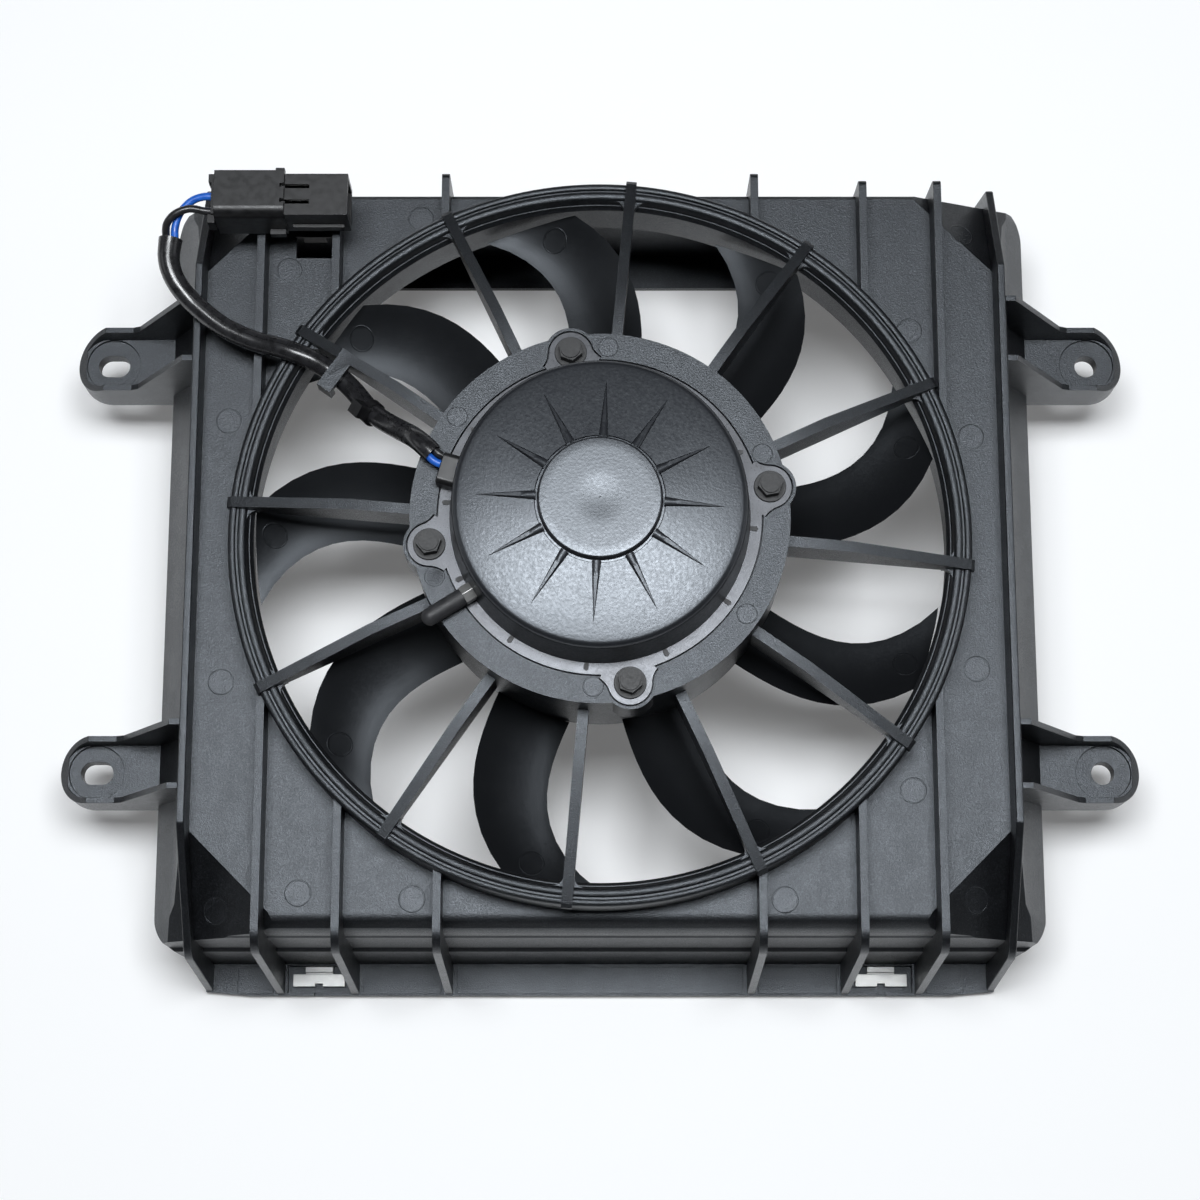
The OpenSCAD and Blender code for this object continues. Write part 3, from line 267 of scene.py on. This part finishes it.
def loft(parts, rings, closed=False):
    """Adds a skin through rings of points to parts, capped at its ends or joined into a ring."""
    verts, faces = parts
    start = len(verts)
    count = len(rings[0])
    verts.extend(Vector(p) * MM for ring in rings for p in ring)
    for i in range(len(rings) if closed else len(rings) - 1):
        a = start + i * count
        b = start + (i + 1) % len(rings) * count
        for j in range(count):
            k = (j + 1) % count
            faces.append((a + j, a + k, b + k, b + j))
    if not closed:
        faces.append(tuple(range(start + count - 1, start - 1, -1)))
        faces.append(tuple(range(len(verts) - count, len(verts))))


def make_piece(name, parts, body, slot, angle, material=None):
    """Mesh object from parts, shaded smooth up to the angle, riding on a body."""
    mesh = bpy.data.meshes.new(name)
    mesh.from_pydata(parts[0], [], parts[1])
    skin = bmesh.new()
    skin.from_mesh(mesh)
    bmesh.ops.recalc_face_normals(skin, faces=skin.faces)
    skin.to_mesh(mesh)
    skin.free()
    for face in mesh.polygons:
        face.use_smooth = True
    mesh.materials.append(MATERIALS[material or slot])
    obj = bpy.data.objects.new(name, mesh)
    bpy.context.scene.collection.objects.link(obj)
    add_modifier(obj, "EDGE_SPLIT", split_angle=math.radians(angle))
    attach(obj, body)
    return obj


def polar(radius, degrees, z=0.0):
    turn = math.radians(degrees)
    return Vector((radius * math.cos(turn), radius * math.sin(turn), z))


def around(count, first):
    """Outward and sideways directions of a ring of places, the first one at an angle."""
    for i in range(count):
        along = polar(1, first + 360 / count * i)
        yield along, Vector((-along.y, along.x, 0))


def arc(cx, cz, radius, start, end, steps):
    """Points of a circular arc in a profile, from one angle to another."""
    turns = [math.radians(start + (end - start) * i / steps) for i in range(steps + 1)]
    return [(cx + radius * math.cos(turn), cz + radius * math.sin(turn)) for turn in turns]


def revolve(section, steps):
    """Parts of a closed section, given as radius and height, turned about the fan axis."""
    parts = ([], [])
    loft(parts, [[polar(r, 360 * i / steps, z) for r, z in section] for i in range(steps)], closed=True)
    return parts


# Motor cover, duct ring, painted shade of the crimps, and pin marks

def build_cover():
    """Pressed motor cover: rolled rim, cone, raised disc in a groove, shallow dimple and twelve ribs."""
    low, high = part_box("motor_cover")
    foot, top = low[2] / MM, high[2] / MM
    out = (high[0] - low[0]) / 2 / MM
    wall, lean, rim_r = 1.4, 1.6, 2.8
    disc_r, disc_up, disc_edge = 22.0, 2.6, 0.8
    cone_in, cone_out, cone_fall = disc_r + 0.8, out - 3.6, 0.137
    groove_in, groove_out, groove = disc_r + 0.5, disc_r + 1.2, 0.55
    dimple_r, dimple = 10.7, 0.28

    def cone_z(r):
        return top - disc_up - cone_fall * (r - cone_in)

    shoulder, rim_z = out - lean, cone_z(cone_out) - rim_r
    section = [(out, foot), (shoulder, rim_z)]
    section += arc(shoulder - rim_r, rim_z, rim_r, 0, 82, 10)[1:]
    section += [(r, cone_z(r)) for r in (cone_out - 2, 40, 34, 28, disc_r + 2.2, disc_r + 1.5)]
    section += [(groove_out, cone_z(groove_out) - groove), (groove_in, top - disc_up - groove),
                (disc_r + 0.2, top - 1.2)]
    section += arc(disc_r - 0.6, top - disc_edge, disc_edge, 10, 90, 5)
    section += [(18, top), (14, top)]
    section += [(dimple_r * t, top - dimple * (1 + math.cos(math.pi * t)) / 2)
                for t in (1.0, 0.85, 0.7, 0.55, 0.4, 0.2, 0.02)]
    under = wall + 0.6
    section += [(0.02 * dimple_r, top - dimple - wall), (disc_r - 1.5, top - dimple - wall),
                (groove_in, cone_z(groove_out) - groove - wall), (disc_r + 2.5, cone_z(disc_r + 2.5) - under),
                (cone_out - 2, cone_z(cone_out - 2) - under), (shoulder - wall, rim_z - 1), (out - wall, foot)]
    cover = make_piece("cover_skin", revolve(section, 192), "shroud_body", "textured_cover", angle=50)
    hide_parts("motor_cover")

    ribs = ([], [])
    rib_in, rib_out, rib_w, rib_h, sunk, steps = disc_r + 0.9, 44.5, 3.5, 1.7, 0.5, 12
    for along, across in around(12, -3):
        rings = []
        for i in range(steps + 1):
            left = 1 - i / steps
            r = rib_out - (rib_out - rib_in) * left
            half = rib_w / 2 * left + 0.05
            tall = rib_h * left ** 0.6 + 0.02
            side = [(-1, -sunk), (-0.86, tall * 0.7), (-0.5, tall)]
            outline = side + [(-a, b) for a, b in reversed(side)]
            rings.append([along * r + across * half * a + Vector((0, 0, cone_z(r) + b)) for a, b in outline])
        loft(ribs, rings)
    make_piece("cover_ribs", ribs, "shroud_body", "textured_cover", angle=40)


# Section of the ring, as inset from its outer edge and drop from its top: two bands, a groove and a lip
RING_SECTION = (
    (0, 17), (0, 1.3), (0.25, 0.6), (0.8, 0.15), (1.6, 0), (2.4, 0.12), (2.7, 0.4), (2.8, 1.3), (3.5, 1.3),
    (3.6, 0.4), (3.9, 0.12), (4.9, 0), (5.9, 0.15), (6.3, 0.5), (6.8, 1.0), (7.0, 2.6), (7.6, 3.4), (7.9, 3.4),
    (8.3, 4.5), (8.9, 4.9), (9.2, 5.3), (9.0, 5.8), (6.8, 5.8))


def build_ring():
    """Ring and duct wall: two crowned bands, a groove between them and a lip that slopes in to the blades."""
    low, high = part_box("duct_ring")
    out, top, foot = high[0] / MM, high[2] / MM, low[2] / MM
    section = [(out - inset, top - drop) for inset, drop in RING_SECTION]
    inside, panel = section[-1][0], section[0][1]
    wall = 2.8
    section += [(inside, foot), (inside + wall, foot), (inside + wall, panel)]
    ring = make_piece("ring_skin", revolve(section, 240), "shroud_body", "shroud_plastic", angle=48)
    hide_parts("duct_ring")


def build_crimp_shade():
    """Painted shade: thin dark slots in the flange's top, standing in for the shaded mouths of the twelve
    crimps where the flange holds the cover's foot.
    """
    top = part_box("motor_flange")[1][2] / MM
    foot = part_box("motor_cover")[1][0] / MM
    side = [(foot - 0.4, -0.8), (foot + 2.0, -0.8), (foot + 2.7, -0.5)]
    outline = side + [(foot + 3.0, 0)] + [(r, -w) for r, w in reversed(side)]
    parts = ([], [])
    for along, across in around(12, -5):
        flat = [along * r + across * w for r, w in outline]
        loft(parts, [[p + Vector((0, 0, top + z)) for p in flat] for z in (-0.2, 0.12)])
    # painted shade: dark rubber slots in place of the shade inside the crimp mouths
    make_piece("flange_crimp_shade", parts, "shroud_body", "soft_rubber", angle=30)


PANEL_MARKS = (
    (-120.9, 109.9), (-142.6, 48.9), (-142.4, -53.2), (-111.5, -132.5), (-69.4, -134.7), (68.3, -135),
    (119.7, 85.2), (142.4, 42.5), (141.8, -48.2), (116.7, -94.3), (-70, 131.1), (-143.4, -138),
    (140, -134.3), (141.5, 125.7))
CARRIER_MARKS = ((3.0, 64.2), (-52.4, 37.5), (59.3, 23.3), (53.0, -36.6), (-2.5, -63.2), (-59.9, -22.7))
BLADE_MARKS = tuple(tuple(polar(123.9, 98.2 + 40 * i))[:2] for i in range(9))
# Section of a pin mark from its foot inwards, as a share of its radius and the height above the face
MARK_SECTION = ((1.0, -0.3), (1.0, 0.04), (0.95, 0.14), (0.9, 0.14), (0.88, 0.05), (0.8, 0.05))


def build_marks(name, node, places, radius, body, slot, material=None):
    """Witness marks of ejector pins: thin round pads that follow the face of a node."""
    mesh = nodes[node].data
    skin = BVHTree.FromPolygons([v.co for v in mesh.vertices], [p.vertices[:] for p in mesh.polygons])
    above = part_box(node)[1][2] / MM + 10
    steps = 40
    parts = ([], [])
    for x, y in places:
        points = []
        for share, lift in MARK_SECTION:
            for i in range(steps):
                start = Vector((x, y, above)) + polar(radius * share, 360 * i / steps)
                hit = skin.ray_cast(start * MM, Vector((0, 0, -1)))[0]
                if hit is not None:
                    points.append(hit / MM + Vector((0, 0, lift)))
        if len(points) == steps * len(MARK_SECTION):
            loft(parts, [points[i:i + steps] for i in range(0, len(points), steps)])
    make_piece(name, parts, body, slot, angle=12, material=material)


# The lead, from the motor to the connector: ends of the wires, and the sleeve's route between them

WIRE_D = 3.0
WIRE_OFF_MIDDLE = 1.58
BLUE_REAR = ((-58, 18.2, 127.4), (-59.1, 18.55, 127.6), (-60.5, 19.35, 127.8), (-61.8, 20.6, 127.8))
BLACK_REAR = ((-57.35, 21.4, 127.4), (-58.1, 21.6, 127.6), (-58.8, 22.05, 127.8), (-59.6, 22.8, 127.8))
SLEEVE_ROUTE = (
    (-61, 22, 127.8), (-63.4, 24.4, 127.6), (-66.2, 27.2, 126.2), (-69, 30, 122.8), (-72, 32.8, 118),
    (-75.6, 36, 113), (-80.4, 40, 108.2), (-85.4, 44.6, 104), (-89.4, 50, 100.4), (-93.6, 55.6, 97.6),
    (-98.5, 60.6, 96.4), (-103.5, 64, 97), (-109, 66.8, 99.2), (-115, 69.2, 100.1), (-121, 71.4, 99.6),
    (-128.5, 73.8, 97.8), (-136.5, 77, 97.2), (-144, 81, 97.2), (-150.5, 86, 97.6), (-156, 91, 98.2),
    (-160.4, 96, 99.8), (-163.4, 102, 101), (-164.4, 108, 101.6), (-163.8, 114.2, 102))
BLUE_FRONT = (
    (-162.2, 114.7, 102.05), (-162.2, 116.4, 102.15), (-162, 119, 102.6), (-160.3, 123.8, 103.8),
    (-156, 128.2, 105), (-151.4, 129.8, 105.8), (-147.8, 129.8, 106), (-141, 129.8, 106))
BLACK_FRONT = (
    (-165.5, 114.7, 102.05), (-165.5, 116.5, 102.4), (-164.8, 119.4, 105), (-161.4, 122.6, 107),
    (-156, 124.4, 107.4), (-151.4, 124, 106.4), (-147.8, 123.8, 106), (-141, 123.8, 106))


def denser(points):
    """One more point between each pair, on a smooth curve through them."""
    last = len(points) - 1
    result = []
    for i in range(last):
        a, b, c, d = points[max(i - 1, 0)], points[i], points[i + 1], points[min(i + 2, last)]
        result += [b, (9 * (b + c) - a - d) / 16]
    return result + [points[-1]]


def across_route(points, i):
    """Sideways and upward directions of a route at one of its points."""
    along = (points[min(i + 1, len(points) - 1)] - points[max(i - 1, 0)]).normalized()
    side = along.cross(Vector((0, 0, 1))).normalized()
    return side, side.cross(along)


def build_wire(name, rear, front, start_turn):
    """One wire as a curve: from the motor, half a turn round its partner, to the connector."""
    sleeve = [Vector(p) for p in SLEEVE_ROUTE]
    last = len(sleeve) - 1
    inside = []
    for i in range(1, last):
        side, up = across_route(sleeve, i)
        turn = math.radians(start_turn + 180 * i / last)
        inside.append(sleeve[i] + WIRE_OFF_MIDDLE * (side * math.cos(turn) + up * math.sin(turn)))
    route = denser(denser([Vector(p) for p in rear] + inside + [Vector(p) for p in front]))
    curve = bpy.data.curves.new(name, "CURVE")
    curve.dimensions = "3D"
    curve.bevel_depth = WIRE_D / 2 * MM
    curve.bevel_resolution = 4
    curve.use_fill_caps = True
    spline = curve.splines.new("POLY")
    spline.points.add(len(route) - 1)
    for point, place in zip(spline.points, route):
        point.co = (*(place * MM), 1)
    spline.use_smooth = True
    wire = bpy.data.objects.new(name, curve)
    bpy.context.scene.collection.objects.link(wire)
    wire_slot = name.replace("lead", "wire")
    curve.materials.append(MATERIALS[wire_slot])
    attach(wire, "shroud_body")
    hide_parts(wire_slot)
    length = sum((b - a).length for a, b in zip(route, route[1:])) * MM
    return wire, route[0] * MM, length


def build_sleeve():
    """Slit tubing round the two wires, whose lip overlaps and whose cut end stands open."""
    inner_r, wall = 3.2, 0.42
    slit_turn, lap_turn, lap = 62, 14, 0.5
    flare_from, flare = 0.86, 0.75
    steps = 36
    route = denser(denser([Vector(p) for p in SLEEVE_ROUTE]))
    rings = []
    for i, place in enumerate(route):
        side, up = across_route(route, i)
        opened = max(0.0, (i / (len(route) - 1) - flare_from) / (1 - flare_from))
        ring = []
        for outwards, order in ((wall, range(steps + 1)), (0.0, range(steps, -1, -1))):
            for j in order:
                turn = math.radians(slit_turn + (360 + lap_turn) * j / steps)
                r = inner_r + flare * opened ** 1.5 + outwards + lap * min(1.0, j / steps / 0.9) ** 2
                ring.append(place + r * (side * math.cos(turn) + up * math.sin(turn)))
        rings.append(ring)
    parts = ([], [])
    loft(parts, rings)
    sleeve = make_piece("lead_sleeve", parts, "shroud_body", "sleeve_plastic", angle=40)
    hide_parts("cable_sleeve")
    return sleeve


sleeve = build_sleeve()
for name, rear, front, turn, pieces in (
        ("lead_blue", BLUE_REAR, BLUE_FRONT, 180, [sleeve, nodes["cable_tie"], nodes["connector_housing"]]),
        ("lead_black", BLACK_REAR, BLACK_FRONT, 0, [nodes["connector_lock"]])):
    wire, leave, length = build_wire(name, rear, front, turn)
build_cover()
build_ring()
build_crimp_shade()
build_marks("panel_marks", "shroud_panel", PANEL_MARKS, 5.0, "shroud_body", "shroud_plastic", "mark_plastic")
build_marks("carrier_marks", "motor_carrier", CARRIER_MARKS, 3.8, "shroud_body", "shroud_plastic",
            "mark_plastic")
build_marks("blade_marks", "fan_blades", BLADE_MARKS, 4.7, "rotor", "fan_plastic")


# Stage: floor, backdrop, lamps and camera

FLOOR_SIZE = 8.0
FLOOR_GAP = 0.2 * MM
FLOOR_COLOUR = (0.96, 0.96, 0.96)
FLOOR_GLOW = 0.14
ROOM_COLOUR = (0.93, 0.96, 1.0)
ROOM_LIGHT = 0.04
LAMP_COLOUR = (0.94, 0.97, 1.0)
PHOTO_PIXELS = 1200
FOCAL_PIXELS = 2612.96
CAMERA_ELEVATION = math.radians(77.37)
CAMERA_DISTANCE = 1084.53 * MM
CAMERA_AIM = Vector((0, -0.69, -14.4)) * MM


def stage_material():
    """White to the camera and in reflections, while most of the object's shadow stays."""
    s = Shader("stage_white", 0.9, specular=0.0)
    s.bsdf.inputs["Base Color"].default_value = (*FLOOR_COLOUR, 1)
    path = s.nodes.new("ShaderNodeLightPath").outputs
    seen = s.math("MAXIMUM", path["Is Camera Ray"], path["Is Glossy Ray"])
    seen = s.math("MAXIMUM", seen, path["Is Transmission Ray"])
    glow = s.nodes.new("ShaderNodeEmission")
    glow.inputs["Color"].default_value = (*WHITE, 1)
    mix = s.nodes.new("ShaderNodeMixShader")
    s.link(s.math("MULTIPLY", seen, FLOOR_GLOW), mix.inputs["Fac"])
    s.link(s.bsdf.outputs["BSDF"], mix.inputs[1])
    s.link(glow.outputs["Emission"], mix.inputs[2])
    s.link(mix.outputs["Shader"], s.out.inputs["Surface"])
    return s.material


def build_floor():
    bpy.ops.mesh.primitive_plane_add(size=FLOOR_SIZE, location=(0, 0, cad_box[0][2] - FLOOR_GAP))
    floor = bpy.context.object
    floor.name = "floor"
    floor.data.materials.append(stage_material())


def area_lamp(name, place, target, width, depth, watts):
    data = bpy.data.lights.new(name, "AREA")
    data.shape = "RECTANGLE"
    data.size = width
    data.size_y = depth
    data.energy = watts
    data.color = LAMP_COLOUR
    lamp = bpy.data.objects.new(name, data)
    lamp.location = place
    lamp.rotation_euler = (Vector(target) - Vector(place)).to_track_quat("-Z", "Y").to_euler()
    bpy.context.scene.collection.objects.link(lamp)


def build_world():
    """A dim room as light, and white behind the floor's edge."""
    world = bpy.data.worlds.new("studio")
    bpy.context.scene.world = world
    world.use_nodes = True
    tree = world.node_tree
    tree.nodes.clear()
    out = tree.nodes.new("ShaderNodeOutputWorld")
    path = tree.nodes.new("ShaderNodeLightPath")
    mix = tree.nodes.new("ShaderNodeMixShader")
    tree.links.new(path.outputs["Is Camera Ray"], mix.inputs["Fac"])
    for socket, colour, strength in ((1, ROOM_COLOUR, ROOM_LIGHT), (2, WHITE, 1.0)):
        back = tree.nodes.new("ShaderNodeBackground")
        back.inputs["Color"].default_value = (*colour, 1)
        back.inputs["Strength"].default_value = strength
        tree.links.new(back.outputs["Background"], mix.inputs[socket])
    tree.links.new(mix.outputs["Shader"], out.inputs["Surface"])


def build_camera():
    """The photograph's view: from the front edge, 77 degrees above the floor."""
    data = bpy.data.cameras.new("camera")
    data.sensor_width = 36.0
    data.lens = FOCAL_PIXELS / PHOTO_PIXELS * data.sensor_width
    data.clip_start = 0.01
    camera = bpy.data.objects.new("camera", data)
    back = Vector((0, -math.cos(CAMERA_ELEVATION), math.sin(CAMERA_ELEVATION)))
    camera.location = CAMERA_AIM + CAMERA_DISTANCE * back
    camera.rotation_euler = (math.pi / 2 - CAMERA_ELEVATION, 0, 0)
    bpy.context.scene.collection.objects.link(camera)
    bpy.context.scene.camera = camera


build_floor()
build_world()
area_lamp("softbox", (0, 0.08, 1.6), (0, 0, 0), 0.95, 0.36, 28)
area_lamp("side_left", (-1.9, 0.1, 0.9), (0, 0, 0.05), 0.9, 0.9, 2)
area_lamp("side_right", (1.9, 0.1, 0.9), (0, 0, 0.05), 0.9, 0.9, 2)
build_camera()
bpy.context.scene.view_settings.view_transform = "Standard"
